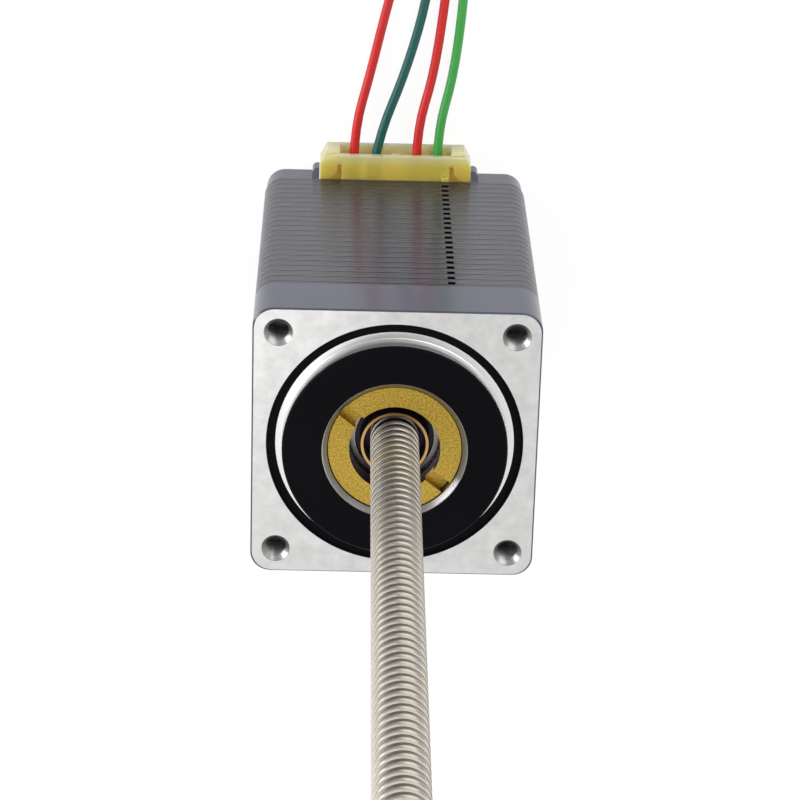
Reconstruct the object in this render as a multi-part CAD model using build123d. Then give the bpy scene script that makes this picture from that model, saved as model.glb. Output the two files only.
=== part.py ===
from build123d import *
import math
import os

# Non-captive linear stepper motor, 28 mm frame, in millimetres.
# The screw's axis is Z. The mounting face lies in z = 0 and the pilot stands up from it.
# The motor rests on its rear cover; the lead connector is on the +Y side.

# Frame of the motor
frame_side = 28.0
frame_corner_r = 2.0
front_cover_height = 6.9
stack_height = 31.7
rear_cover_height = 3.8
rear_cover_inset = 0.15
edge_chamfer = 0.15
rear_chamfer = 0.3

# Mounting interface
hole_spacing = 23.0
mount_hole_r = 1.025
mount_hole_depth = 4.2
countersink_r = 1.4
pilot_r = 11.0
pilot_height = 1.8
pilot_chamfer = 0.15
groove_r = 12.55
groove_depth = 0.33

# Opening in the pilot, with the bearing retaining ring
ring_r = 6.5
ring_bore_r = 4.45
ring_face_drop = 0.6
ring_slot_width = 1.3
ring_slot_depth = 1.0
ring_slot_angle = 142.0
ring_lip_width = 0.35
ring_relief_depth = 0.4
thread_gap = 0.1
mouth_chamfer = 0.47

# Ball bearings, the same at both ends
bearing_bore_r = 4.5
bearing_outer_r = 7.0
bearing_width = 3.0
bearing_setback = 1.5
ball_r = 0.6
ball_count = 6
race_land = 0.7
race_gap = 0.02
cage_thickness = 0.35
cage_width = 1.8
washer_height = 0.3
washer_thickness = 0.15
rear_wall = 0.45
bearing_boss_wall = 1.0
bearing_boss_gap = 0.2
seat_gap = 0.02

# Cavities for the winding heads
cavity_wall = 1.8
front_wall = 2.9
rear_cavity_floor = 1.2
rear_hole_r = 4.0

# Case bolts, from behind through all three parts of the frame
bolt_r = 1.22
bolt_clearance = 0.18
bolt_tip_gap = 0.2
bolt_head_r = 2.0
bolt_head_height = 1.5
bolt_head_drop = 0.2
head_recess_r = 2.15

# Laminated stator core
air_gap = 0.1
pole_count = 8
pole_width = 3.4
pole_teeth = 6
tooth_pitch_deg = 7.2
stator_tooth_deg = 3.4
tooth_depth = 0.35
shoe_tip = 0.35
shoe_root = 0.8
yoke_overlap = 0.5
yoke_thickness = 1.6
lamination_pitch = 0.366
notch_width = 0.75
notch_depth = 0.25
notch_offset = 5.3
notch_first = 0.85
notch_count = 21
notch_pitch = 4 * lamination_pitch

# Windings and their insulators
insulator_thickness = 0.5
inner_flange_gap = 0.15
inner_flange_wall = 0.4
inner_flange_height = 1.4
inner_flange_width = 5.0
outer_flange_wall = 0.6
outer_flange_height = 1.9
coil_gap = 0.05
coil_inner_gap = 0.2
coil_thickness = 1.3
coil_head_height = 1.6
coil_corner_share = 0.7
coil_outer_r = 11.0

# Rotor
rotor_r = 7.0
rotor_teeth = 50
rotor_tooth_deg = 3.4
magnet_r = 6.4
magnet_length = 2.0
rotor_end_gap = 0.7
shaft_bore_r = 3.83
shaft_end_drop = 0.3
shaft_rear_gap = 0.2
shaft_chamfer = 0.15
shoulder_r = 5.05

# Lead nut and lead screw
nut_length = 17.0
nut_neck_r = 3.4
nut_neck_length = 2.2
nut_counterbore_r = 2.95
nut_counterbore_depth = 2.5
screw_r = 2.38125
screw_length = 150.0
screw_chamfer = 0.4
nut_clearance = 0.05

# Connector on the rear cover
connector_top_width = 14.8
connector_base_width = 16.2
connector_depth = 3.5
connector_rise = 3.0
connector_shoulder_rise = 1.6
connector_base_drop = 1.7
connector_back_gap = 0.1
connector_front_drop = 0.4
connector_back_wall = 0.6
connector_front_wall = 0.85
trough_width = 12.0
trough_floor_rise = 1.9
key_r = 0.55
ear_width = 2.3
ear_recess = 0.55
ear_height = 2.8
ear_curve_r = 1.5
ear_edge = 0.4
ear_top_gap = 0.05
locating_rib_width = 0.75
locating_rib_height = 0.45
locating_rib_depth = 0.55
locating_rib_gap = 0.05
locating_rib_root = 0.2
cheek_width = 0.75
cheek_height = 0.6
cheek_corner_r = 0.5
window_gap = 0.1
window_floor_drop = 2.9
contact_pitch = 2.25
contact_rows = (-2, -1, 1, 2)
cavity_side = 1.5
contact_side = 1.2
contact_rise = 1.4
lead_start_rise = 1.45
contact_length = 2.6
pin_side = 0.5
pin_rise = 0.9
pin_root_drop = 2.5
pin_gap = 0.02
block_half_width = 5.6
block_base_drop = 2.8

# How far a piece that is added or cut runs into its neighbour, so that they join cleanly
overlap = 0.1

# Leads: 1.0 mm wires, bare at the far end, lying on the surface that the motor stands on
lead_d = 1.0
lead_coil_centre = (0.0, 47.0)
lead_coil_inner_r = 3.85
lead_coil_outer_r = 8.1
lead_coil_inner_height = 11.4
lead_coil_outer_height = 7.2

# Levels along the axis, worked out from the sizes above
cover_back = -front_cover_height
stack_back = cover_back - stack_height
rear_z = stack_back - rear_cover_height
bearing_front = -bearing_setback
bearing_back = bearing_front - bearing_width
front_cavity_top = -front_wall
boss_r = bearing_outer_r + bearing_boss_wall
inner_flange_r = boss_r + inner_flange_gap
coil_inner_r = inner_flange_r + inner_flange_wall + coil_inner_gap
bolt_bore_r = bolt_r + seat_gap
bolt_clearance_r = bolt_r + bolt_clearance
washer_back = rear_z + rear_wall
rear_bearing_back = washer_back + washer_height
rear_bearing_front = rear_bearing_back + bearing_width
rear_cavity_bottom = rear_z + rear_cavity_floor
stator_bore_r = rotor_r + air_gap
slot_outer_r = frame_side / 2 - yoke_thickness
half_spacing = hole_spacing / 2
half_side = frame_side / 2
rear_cover_side = frame_side - 2 * rear_cover_inset
cavity_r = half_side - cavity_wall
connector_top_y = half_side + connector_rise
connector_shoulder_y = half_side + connector_shoulder_rise
connector_base_y = half_side - connector_base_drop
trough_floor_y = half_side + trough_floor_rise
window_floor_y = half_side - window_floor_drop
contact_top_y = half_side + contact_rise
lead_start_y = half_side + lead_start_rise
pin_top_y = half_side + pin_rise
pin_root_y = half_side - pin_root_drop
block_base_y = half_side - block_base_drop
ring_face = pilot_height - ring_face_drop
connector_back = rear_z + connector_back_gap
connector_front = connector_back + connector_depth
contact_z = (connector_back + connector_back_wall + connector_front - connector_front_wall) / 2
floor_z = rear_z
screw_rear = rear_z
screw_front = screw_rear + screw_length
ball_pitch_r = (bearing_bore_r + bearing_outer_r) / 2

corners = [(x * half_spacing, y * half_spacing) for x in (-1, 1) for y in (-1, 1)]


def tube(outer_r, inner_r, bottom, top):
    """A plain ring about the axis."""
    section = Circle(outer_r) - Circle(inner_r)
    return extrude(Plane.XY.offset(bottom) * section, top - bottom)


def turned(points):
    """A turned solid from (radius, z) points of its half section."""
    outline = Polyline(*[(r, 0, z) for r, z in points], close=True)
    return revolve(make_face(outline), Axis.Z)


def drilled(places, radius, bottom, top):
    """Round holes along Z, as one tool."""
    return [Pos(x, y, (bottom + top) / 2) * Cylinder(radius, top - bottom) for x, y in places]


def frame_block(side, bottom, top):
    """A square block of the frame with rounded corners."""
    outline = Plane.XY.offset(bottom) * RectangleRounded(side, side, frame_corner_r)
    return extrude(outline, top - bottom)


def box(x0, x1, y0, y1, z0, z1):
    """A box between six planes."""
    return Pos((x0 + x1) / 2, (y0 + y1) / 2, (z0 + z1) / 2) * Box(x1 - x0, y1 - y0, z1 - z0)


def row_of_teeth(count, pitch_deg, tooth_deg, tip_r, root_r, middle_deg):
    """Corner points of a row of teeth about the axis, in order of angle."""
    points = []
    for n in range(count):
        angle = middle_deg + (n - (count - 1) / 2) * pitch_deg
        for radius, side in ((root_r, -1), (tip_r, -1), (tip_r, 1), (root_r, 1)):
            turn = math.radians(angle + side * tooth_deg / 2)
            points.append((radius * math.cos(turn), radius * math.sin(turn)))
    return points


def around(piece, count=8):
    """Equal copies of a piece about the axis."""
    return [Rot(0, 0, n * 360 / count) * piece for n in range(count)]


# Front cover: a die casting with its face, pilot and bearing seat machined
def front_cover():
    body = frame_block(frame_side, cover_back, 0)
    body = chamfer(body.faces().sort_by(Axis.Z)[-1].edges(), edge_chamfer)
    body -= tube(groove_r, pilot_r, -groove_depth, 1)
    pilot = Pos(0, 0, (pilot_height - groove_depth) / 2) * Cylinder(pilot_r, pilot_height + groove_depth)
    body += chamfer(pilot.faces().sort_by(Axis.Z)[-1].edges(), pilot_chamfer)
    bore_r = ring_r + thread_gap
    seat_r = bearing_outer_r + seat_gap
    boss_end = bearing_back - bearing_boss_gap
    body -= turned([
        (0, pilot_height + 1), (bore_r + mouth_chamfer + 1, pilot_height + 1),
        (bore_r + mouth_chamfer, pilot_height), (bore_r, pilot_height - mouth_chamfer),
        (bore_r, bearing_front), (seat_r, bearing_front), (seat_r, boss_end), (boss_r, boss_end),
        (boss_r, front_cavity_top), (cavity_r, front_cavity_top), (cavity_r, cover_back - 1),
        (0, cover_back - 1),
    ])
    body -= drilled(corners, mount_hole_r, -mount_hole_depth, 1)
    body -= drilled(corners, bolt_bore_r, cover_back - 1, -mount_hole_depth)
    sink = countersink_r - mount_hole_r
    for x, y in corners:
        body -= Pos(x, y, -sink / 2) * Cone(mount_hole_r, countersink_r, sink)
    return body


# Slotted ring that holds the front bearing in its seat
def bearing_retaining_ring():
    lip_r = ring_r - ring_lip_width
    body = turned([
        (ring_bore_r, ring_face), (ring_r, ring_face), (ring_r, bearing_front),
        (lip_r, bearing_front), (lip_r, bearing_front + ring_relief_depth),
        (ring_bore_r, bearing_front + ring_relief_depth),
    ])
    slot = box(-2 * ring_r, 2 * ring_r, -ring_slot_width / 2, ring_slot_width / 2,
               ring_face - ring_slot_depth, ring_face + 1)
    return body - Rot(0, 0, ring_slot_angle) * slot


# Ball bearings: rings with a round groove, balls and a ribbon cage
def bearing_groove(middle):
    section = Plane.XZ * Pos(ball_pitch_r, middle) * Circle(ball_r + race_gap)
    return revolve(section, Axis.Z)


def bearing_outer_ring(front):
    body = tube(bearing_outer_r, bearing_outer_r - race_land, front - bearing_width, front)
    return body - bearing_groove(front - bearing_width / 2)


def bearing_inner_ring(front):
    body = tube(bearing_bore_r + race_land, bearing_bore_r, front - bearing_width, front)
    return body - bearing_groove(front - bearing_width / 2)


def ball_places(middle):
    step = 360 / ball_count
    return [Rot(0, 0, n * step) * Pos(ball_pitch_r, 0, middle) for n in range(ball_count)]


def bearing_balls(front):
    return Compound(children=[place * Sphere(ball_r) for place in ball_places(front - bearing_width / 2)])


def bearing_cage(front):
    middle = front - bearing_width / 2
    half = cage_thickness / 2
    body = tube(ball_pitch_r + half, ball_pitch_r - half, middle - cage_width / 2, middle + cage_width / 2)
    pocket = Box(4 * cage_thickness, 2 * (ball_r + race_gap), 2 * (ball_r + race_gap))
    return body - [place * pocket for place in ball_places(middle)]


# Spring washer behind the rear bearing, bowed across its width
def wave_washer():
    rise = washer_height - washer_thickness
    reach = bearing_outer_r
    low = washer_back
    high = low + washer_thickness
    lower = ThreePointArc((-reach, low), (0, low + rise), (reach, low))
    upper = ThreePointArc((-reach, high), (0, high + rise), (reach, high))
    band = make_face(Plane.XZ * (lower + Line(lower @ 1, upper @ 1) + upper + Line(upper @ 0, lower @ 0)))
    band = extrude(band, bearing_outer_r, both=True)
    ring = tube(bearing_outer_r - seat_gap, bearing_bore_r + race_land, low, low + washer_height)
    return band & ring


# Stator core: stamped laminations with eight toothed poles, turned a quarter at each layer
def stator_pole():
    """One pole: a straight arm, a shoe that tapers to its tips and a row of teeth."""
    half_w = pole_width / 2
    root_r = stator_bore_r + tooth_depth
    points = row_of_teeth(pole_teeth, tooth_pitch_deg, stator_tooth_deg, stator_bore_r, root_r, 0)
    tip_turn = math.radians(((pole_teeth - 1) * tooth_pitch_deg + stator_tooth_deg) / 2)
    tip_x = (root_r + shoe_tip) * math.cos(tip_turn)
    tip_y = (root_r + shoe_tip) * math.sin(tip_turn)
    arm_x, end_x = root_r + shoe_root, slot_outer_r + yoke_overlap
    points += [(tip_x, tip_y), (arm_x, half_w), (end_x, half_w)]
    points += [(end_x, -half_w), (arm_x, -half_w), (tip_x, -tip_y)]
    return make_face(Polyline(*points, close=True))


def stator_section():
    section = Sketch() + RectangleRounded(frame_side, frame_side, frame_corner_r) - Circle(slot_outer_r)
    section += around(stator_pole(), pole_count)
    return section - [Pos(x, y) * Circle(bolt_clearance_r) for x, y in corners]


def stator_stack():
    body = extrude(Plane.XY.offset(stack_back) * stator_section(), stack_height)
    notches = []
    for n in range(notch_count):
        top = cover_back - notch_first - n * notch_pitch
        notches.append(box(notch_offset - notch_width / 2, notch_offset + notch_width / 2,
                           frame_side / 2 - notch_depth, frame_side / 2 + 1, top - lamination_pitch, top))
    return body - notches


# Moulded insulators on the two ends of the core, with flanges that hold the winding heads
def insulator(face, outward):
    """An insulator that lies on one end face of the core and stands out from it."""
    rim_r = cavity_r - window_gap
    rim = Circle(rim_r) - Circle(rim_r - outer_flange_wall)
    arm_start = inner_flange_r + inner_flange_wall / 2
    arm_end = rim_r - outer_flange_wall / 2
    arm = Pos((arm_start + arm_end) / 2, 0) * Rectangle(arm_end - arm_start, pole_width)
    flange = Pos(inner_flange_r + inner_flange_wall / 2, 0) * Rectangle(inner_flange_wall, inner_flange_width)
    plane = Plane.XY.offset(face)
    body = extrude(plane * (rim + around(arm, pole_count)), outward * insulator_thickness)
    body += extrude(plane * rim, outward * (insulator_thickness + outer_flange_height))
    shield = extrude(plane * flange, outward * (insulator_thickness + inner_flange_height))
    return body + around(shield, pole_count)


def front_insulator():
    return insulator(cover_back, 1)


def rear_insulator():
    height = insulator_thickness + outer_flange_height
    block_top = connector_base_y - window_gap / 2
    body = insulator(stack_back, -1)
    body += box(-block_half_width, block_half_width, block_base_y, block_top, stack_back - height, stack_back)
    return body - [pin_blank(x, pin_side + 2 * pin_gap) for x in contact_places()]


# Windings: four coils to each phase, on every other pole
def coil(n):
    middle = (cover_back + stack_back) / 2
    inner_w = pole_width + 2 * coil_gap
    inner_h = stack_height + 2 * insulator_thickness
    outer_w = inner_w + 2 * coil_thickness
    outer_h = inner_h + 2 * coil_head_height
    ring = RectangleRounded(outer_w, outer_h, coil_thickness * coil_corner_share) - Rectangle(inner_w, inner_h)
    plane = Plane(origin=(coil_inner_r, 0, middle), x_dir=(0, 1, 0), z_dir=(1, 0, 0))
    body = extrude(plane * ring, coil_outer_r - coil_inner_r)
    return Rot(0, 0, n * 360 / pole_count) * body


def phase_coils(first):
    return Compound(children=[coil(n) for n in range(first, pole_count, 2)])


# Rear cover: bearing seat, winding cavity, bolt recesses and the connector's window
def rear_cover():
    body = frame_block(rear_cover_side, rear_z, stack_back)
    body = chamfer(body.faces().sort_by(Axis.Z)[0].edges(), rear_chamfer)
    half = connector_base_width / 2 + window_gap
    cheek_top = frame_side / 2 + cheek_height
    outline = Pos(0, (frame_side / 2 - 1 + cheek_top) / 2)
    outline *= Rectangle(2 * (half + cheek_width), cheek_top - frame_side / 2 + 1)
    outline = fillet(outline.vertices().group_by(Axis.Y)[-1], cheek_corner_r)
    body += extrude(Plane.XY.offset(rear_z) * outline, rear_cover_height)
    seat_r = bearing_outer_r + seat_gap
    boss_end = stack_back - bearing_boss_gap
    body -= turned([
        (0, stack_back + 1), (cavity_r, stack_back + 1), (cavity_r, rear_cavity_bottom),
        (boss_r, rear_cavity_bottom), (boss_r, boss_end), (seat_r, boss_end),
        (seat_r, washer_back), (rear_hole_r, washer_back), (rear_hole_r, rear_z - 1), (0, rear_z - 1),
    ])
    body -= box(-half, half, window_floor_y, cheek_top + 1, rear_z - 1, stack_back + 1)
    body -= drilled(corners, bolt_clearance_r, rear_z - 1, stack_back + 1)
    body -= drilled(corners, head_recess_r, rear_z - 1, rear_z + bolt_head_drop + bolt_head_height)
    return body


# Case bolts, from behind
def case_bolts():
    head_back = rear_z + bolt_head_drop
    head_front = head_back + bolt_head_height
    tip = -mount_hole_depth - bolt_tip_gap
    bolt = turned([
        (0, head_back), (bolt_head_r, head_back), (bolt_head_r, head_front), (bolt_r, head_front),
        (bolt_r, tip), (0, tip),
    ])
    return Compound(children=[Pos(x, y, 0) * bolt for x, y in corners])


# Rotor: hollow shaft, two toothed cups half a tooth apart and the magnet between them
rotor_front = cover_back - rotor_end_gap
rotor_back = stack_back + rotor_end_gap
cup_length = (rotor_front - rotor_back - magnet_length) / 2
shaft_r = bearing_bore_r - seat_gap


def rotor_cup(front, turn_deg):
    points = row_of_teeth(rotor_teeth, 360 / rotor_teeth, rotor_tooth_deg, rotor_r, rotor_r - tooth_depth, turn_deg)
    section = make_face(Polyline(*points, close=True)) - Circle(bearing_bore_r)
    return extrude(Plane.XY.offset(front - cup_length) * section, cup_length)


def rotor_magnet():
    return tube(magnet_r, bearing_bore_r, rotor_back + cup_length, rotor_front - cup_length)


def rotor_shaft():
    front = bearing_front - shaft_end_drop
    back = washer_back + shaft_rear_gap
    return turned([
        (shaft_bore_r, front), (shaft_r - shaft_chamfer, front), (shaft_r, front - shaft_chamfer),
        (shaft_r, bearing_back), (shoulder_r, bearing_back), (shoulder_r, rotor_front),
        (shaft_r, rotor_front), (shaft_r, back), (shaft_bore_r, back),
    ])


def rear_spacer():
    return tube(shoulder_r, bearing_bore_r, rear_bearing_front, rotor_back)


def lead_nut():
    body_r = shaft_bore_r - seat_gap
    bore_r = screw_r + nut_clearance
    return turned([
        (nut_counterbore_r, 0), (nut_neck_r, 0), (nut_neck_r, -nut_neck_length), (body_r, -nut_neck_length),
        (body_r, -nut_length), (bore_r, -nut_length), (bore_r, -nut_counterbore_depth),
        (nut_counterbore_r, -nut_counterbore_depth),
    ])


def lead_screw():
    small_r = screw_r - screw_chamfer
    return turned([
        (0, screw_rear), (small_r, screw_rear), (screw_r, screw_rear + screw_chamfer),
        (screw_r, screw_front - screw_chamfer), (small_r, screw_front), (0, screw_front),
    ])


# Connector: contact places, pins in the rear insulator, crimped contacts and the housing
def contact_places():
    return [row * contact_pitch for row in contact_rows]


def pin_blank(x, side):
    return box(x - side / 2, x + side / 2, pin_root_y, pin_top_y, contact_z - side / 2, contact_z + side / 2)


def terminal_pins():
    return Compound(children=[pin_blank(x, pin_side) for x in contact_places()])


def crimp_contacts():
    half = contact_side / 2
    made = []
    for x in contact_places():
        sleeve = box(x - half, x + half, contact_top_y - contact_length, contact_top_y,
                     contact_z - half, contact_z + half)
        made.append(sleeve - pin_blank(x, pin_side + 2 * pin_gap))
    return Compound(children=made)


def connector_housing():
    top, base = connector_top_width / 2, connector_base_width / 2
    outline = make_face(Polyline(
        (-base, connector_base_y), (base, connector_base_y), (base, connector_shoulder_y),
        (top, connector_top_y), (-top, connector_top_y), (-base, connector_shoulder_y), close=True,
    ))
    body = extrude(Plane.XY.offset(connector_back) * outline, connector_depth)
    trough_back = connector_back + connector_back_wall
    trough_front = connector_front - connector_front_wall
    front_top = connector_top_y - connector_front_drop
    body -= box(-base, base, front_top, connector_top_y + 1, trough_front, connector_front + 1)
    body -= box(-trough_width / 2, trough_width / 2, trough_floor_y, connector_top_y + 1, trough_back, trough_front)
    key_height = front_top - trough_floor_y
    key = Pos(0, trough_floor_y + key_height / 2, trough_front) * Rot(90, 0, 0) * Cylinder(key_r, key_height)
    body += key & box(-key_r, key_r, trough_floor_y, front_top, trough_back, trough_front + overlap)
    half = cavity_side / 2
    for x in contact_places():
        body -= box(x - half, x + half, connector_base_y - 1, trough_floor_y + overlap,
                    contact_z - half, contact_z + half)
    # The ears are set back from the front, with a quarter-round lug left on each
    ear_top = connector_shoulder_y - ear_top_gap
    ear_bottom = ear_top - ear_height
    for side in (-1, 1):
        inner = side * (base - ear_width)
        outer = side * (base + 1)
        pocket = box(min(inner, outer), max(inner, outer), ear_bottom, ear_top,
                     connector_front - ear_recess, connector_front + 1)
        lug = Pos(side * base, ear_top) * (
            Circle(ear_curve_r + ear_edge) & Pos(-side * ear_curve_r / 2, -ear_curve_r / 2)
            * Rectangle(ear_curve_r + 2 * ear_edge, ear_curve_r + 2 * ear_edge)
        )
        lug &= Pos(0, (connector_base_y + ear_top) / 2) * Rectangle(2 * base, ear_top - connector_base_y)
        pocket -= extrude(Plane.XY.offset(connector_front - ear_recess - overlap) * lug, ear_recess + overlap)
        body -= pocket
    rib_low = frame_side / 2 + locating_rib_gap
    body += box(notch_offset - locating_rib_width / 2, notch_offset + locating_rib_width / 2,
                rib_low, rib_low + locating_rib_height, connector_front - locating_rib_root,
                connector_front + locating_rib_depth)
    return body


# Leads: routes chosen by hand, straight out of the connector, down, then along the surface
lead_z = floor_z + lead_d / 2
lead_routes = {
    "lead_red_left": [
        (-4.5, lead_start_y, contact_z), (-4.45, 19.3, contact_z - 0.1), (-3.0, 24.6, lead_z),
        (-1.5, 31.6, lead_z), (2.2, 40.6, lead_z),
    ],
    "lead_teal": [
        (-2.25, lead_start_y, contact_z), (-1.65, 18.9, contact_z - 0.1), (0.65, 24.6, lead_z),
        (2.6, 31.8, lead_z), (4.6, 41.0, lead_z),
    ],
    "lead_red_right": [
        (2.25, lead_start_y, contact_z), (2.25, 19.3, contact_z - 0.1), (3.8, 24.6, lead_z),
        (4.7, 31.8, lead_z), (5.8, 41.2, lead_z),
    ],
    "lead_green": [
        (4.5, lead_start_y, contact_z), (4.5, 19.3, contact_z - 0.1), (5.95, 24.6, lead_z),
        (6.7, 32.0, lead_z), (7.4, 43.2, lead_z),
    ],
}


def corner_radii(points):
    """The largest arc that fits each corner: 0.45 of the shorter run over tan(half the turn)."""
    radii = []
    for before, here, after in zip(points, points[1:], points[2:]):
        a, b = Vector(*here) - Vector(*before), Vector(*after) - Vector(*here)
        half_turn = math.radians(a.get_angle(b)) / 2
        radii.append(0.45 * min(a.length, b.length) / math.tan(half_turn))
    return radii


def lead(name):
    points = lead_routes[name]
    radii = corner_radii(points)
    path = FilletPolyline(*points, radius=radii)
    start = Plane(origin=path @ 0, z_dir=path % 0)
    body = sweep(start * Circle(lead_d / 2), path=path)
    print(name, "length", round(path.length, 2), "smallest radius", round(min(radii), 1),
          "volume over section times length", round(body.volume / (math.pi * lead_d**2 / 4 * path.length), 4))
    return body


def lead_coil():
    x, y = lead_coil_centre
    body = turned([
        (lead_coil_inner_r, floor_z), (lead_coil_outer_r, floor_z),
        (lead_coil_outer_r, floor_z + lead_coil_outer_height),
        (lead_coil_inner_r + lead_d, floor_z + lead_coil_inner_height),
        (lead_coil_inner_r, floor_z + lead_coil_inner_height),
    ])
    return Pos(x, y, 0) * body


parts = {
    "front_cover": front_cover(),
    "bearing_retaining_ring": bearing_retaining_ring(),
    "stator_stack": stator_stack(),
    "front_insulator": front_insulator(),
    "rear_insulator": rear_insulator(),
    "phase_a_coils": phase_coils(0),
    "phase_b_coils": phase_coils(1),
    "rear_cover": rear_cover(),
    "case_bolts": case_bolts(),
    "wave_washer": wave_washer(),
    "rotor_shaft": rotor_shaft(),
    "front_rotor_cup": rotor_cup(rotor_front, 180 / rotor_teeth),
    "rear_rotor_cup": rotor_cup(rotor_back + cup_length, 0),
    "rotor_magnet": rotor_magnet(),
    "rear_spacer": rear_spacer(),
    "lead_nut": lead_nut(),
    "lead_screw": lead_screw(),
    "terminal_pins": terminal_pins(),
    "crimp_contacts": crimp_contacts(),
    "connector_housing": connector_housing(),
    "lead_coil": lead_coil(),
}
for end, front in (("front", bearing_front), ("rear", rear_bearing_front)):
    parts[end + "_bearing_outer_ring"] = bearing_outer_ring(front)
    parts[end + "_bearing_inner_ring"] = bearing_inner_ring(front)
    parts[end + "_bearing_balls"] = bearing_balls(front)
    parts[end + "_bearing_cage"] = bearing_cage(front)
for name in lead_routes:
    parts[name] = lead(name)

os.makedirs("parts", exist_ok=True)
for name, shape in parts.items():
    export_step(shape, f"parts/{name}.step")
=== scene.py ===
from math import asin, ceil, cos, dist, hypot, pi, radians, sin, tau

import bmesh
import bpy
from bpy.props import FloatProperty, FloatVectorProperty, PointerProperty
from mathutils import Matrix, Vector


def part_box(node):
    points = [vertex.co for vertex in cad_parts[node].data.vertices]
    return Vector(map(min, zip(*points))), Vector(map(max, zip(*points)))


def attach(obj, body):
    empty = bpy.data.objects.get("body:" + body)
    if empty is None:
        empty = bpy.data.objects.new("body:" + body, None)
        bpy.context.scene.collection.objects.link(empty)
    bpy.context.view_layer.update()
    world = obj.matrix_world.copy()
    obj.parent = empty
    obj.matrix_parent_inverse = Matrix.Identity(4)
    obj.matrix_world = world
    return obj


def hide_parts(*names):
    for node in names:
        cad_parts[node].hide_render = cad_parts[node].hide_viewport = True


bl_info = {
    "name": "Linear Stepper Motor",
    "version": (1, 0, 0),
    "blender": (4, 5, 0),
    "location": "View3D > Sidebar > Motor",
    "description": "Dresses the packed motor: cover, laminations, threads, connector and leads",
    "category": "Object",
}

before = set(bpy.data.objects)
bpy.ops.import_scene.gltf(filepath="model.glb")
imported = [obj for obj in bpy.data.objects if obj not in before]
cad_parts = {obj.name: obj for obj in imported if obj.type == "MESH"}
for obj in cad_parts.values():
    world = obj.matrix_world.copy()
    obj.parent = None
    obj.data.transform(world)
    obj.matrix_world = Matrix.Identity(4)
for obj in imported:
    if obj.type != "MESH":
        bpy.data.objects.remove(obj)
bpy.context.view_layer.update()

# Pieces are modelled in millimetres and brought to metres when they are finished.
MM = 0.001

# Points closer than this become one: in a piece, where its copies meet, in a node of the frame
WELD, COPY_WELD, NODE_WELD = 0.0004, 0.001, 0.0005
# How far a point may lie from a level and still count as on it
LEVEL_GAP, FLAT_GAP = 1e-4, 1e-3
# Steps of the square's rounded corners
CORNER_STEPS = 10
# Each stamped layer is the one above it turned by a quarter, so the core repeats every four.
QUARTERS = 4
# A piece's second material
SECOND = 1

# Levels and radii of the motor, read from the frame
FLOOR_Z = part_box("rear_cover")[0].z / MM
COVER_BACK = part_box("front_cover")[0].z / MM
STACK_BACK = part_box("stator_stack")[0].z / MM
PILOT_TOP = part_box("front_cover")[1].z / MM
HALF_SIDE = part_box("front_cover")[1].x / MM
SCREW_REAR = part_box("lead_screw")[0].z / MM
SCREW_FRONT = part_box("lead_screw")[1].z / MM
SCREW_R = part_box("lead_screw")[1].x / MM
NUT_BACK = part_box("lead_nut")[0].z / MM
SHAFT_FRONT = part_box("rotor_shaft")[1].z / MM
SHAFT_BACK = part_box("rotor_shaft")[0].z / MM


def linear(text):
    """Turns an sRGB hex colour into the linear values that shaders take."""
    channels = [int(text[i:i + 2], 16) / 255 for i in (1, 3, 5)]
    return [c / 12.92 if c <= 0.04045 else ((c + 0.055) / 1.055) ** 2.4 for c in channels]


def colour(name, description, text):
    """A colour property whose default is written as sRGB hex."""
    return FloatVectorProperty(name=name, description=description, default=linear(text),
        size=3, min=0, max=1, subtype="COLOR")


def millimetres(name, description, default):
    """A length property in millimetres."""
    return FloatProperty(name=name, description=description, default=default, min=0,
        subtype="DISTANCE_CAMERA")


class MotorSizes(bpy.types.PropertyGroup):
    """Sizes of the fine forms that the frame leaves plain."""

    corner_r: millimetres("Corner radius", "Rounding of the square frame", 2.0)
    edge_chamfer: millimetres("Edge chamfer", "Coated chamfer round the machined face", 0.15)
    hole_spacing: millimetres("Hole spacing", "Distance between the tapped holes", 23.0)
    tap_pitch: millimetres("Tap pitch", "Pitch of the thread in the mounting holes", 0.45)
    lamination: millimetres("Lamination", "Thickness of one stamped layer of the core", 0.366)
    layer_groove: millimetres("Layer groove", "Depth of the joint between two layers", 0.035)
    notch_depth: millimetres("Notch depth", "Depth of the locating notches in the core", 0.3)
    thread_pitch: millimetres("Thread pitch", "Pitch of the lead screw", 1.27)
    thread_depth: millimetres("Thread depth", "Depth of the lead screw's thread", 0.42)
    crest_width: millimetres("Crest width", "Flat width of the thread's crest", 0.34)
    crest_phase: millimetres(
        "Crest phase", "Height of a crest on the +X side, less whole pitches", 0.5025)
    lead_length: millimetres("Lead length", "Whole length of each lead", 300.0)
    lead_d: millimetres("Lead diameter", "Diameter over the insulation", 1.0)


class MotorColours(bpy.types.PropertyGroup):
    """Colours of the motor's finishes."""

    casting: colour("Coated casting", "Dark satin coat on the covers", "#434659")
    core: colour("Coated core", "The same coat over the laminations", "#2b2c3b")
    black: colour("Black coat", "Dull black coat in the recess and on the pilot", "#08070c")
    machined: colour("Machined aluminium", "Bare aluminium, faced on a lathe", "#e8e7e6")
    brass: colour("Blasted brass", "Grainy brass of the retaining ring", "#c8a84b")
    bright_brass: colour("Turned brass", "Bright brass of the lead nut", "#d8ac72")
    screw: colour("Screw steel", "Rolled stainless steel of the lead screw", "#d2cbbf")
    steel: colour("Shaft steel", "Ground steel of the rotor shaft", "#a7a0a3")
    nylon: colour("Connector nylon", "Natural nylon, aged yellow", "#ffdb67")
    red: colour("Red lead", "Insulation of the two red leads", "#d41a17")
    teal: colour("Teal lead", "Insulation of the dark green lead", "#005a55")
    green: colour("Green lead", "Insulation of the light green lead", "#3aa345")


def sizes():
    return bpy.context.scene.motor_sizes


def colours():
    return bpy.context.scene.motor_colours


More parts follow.
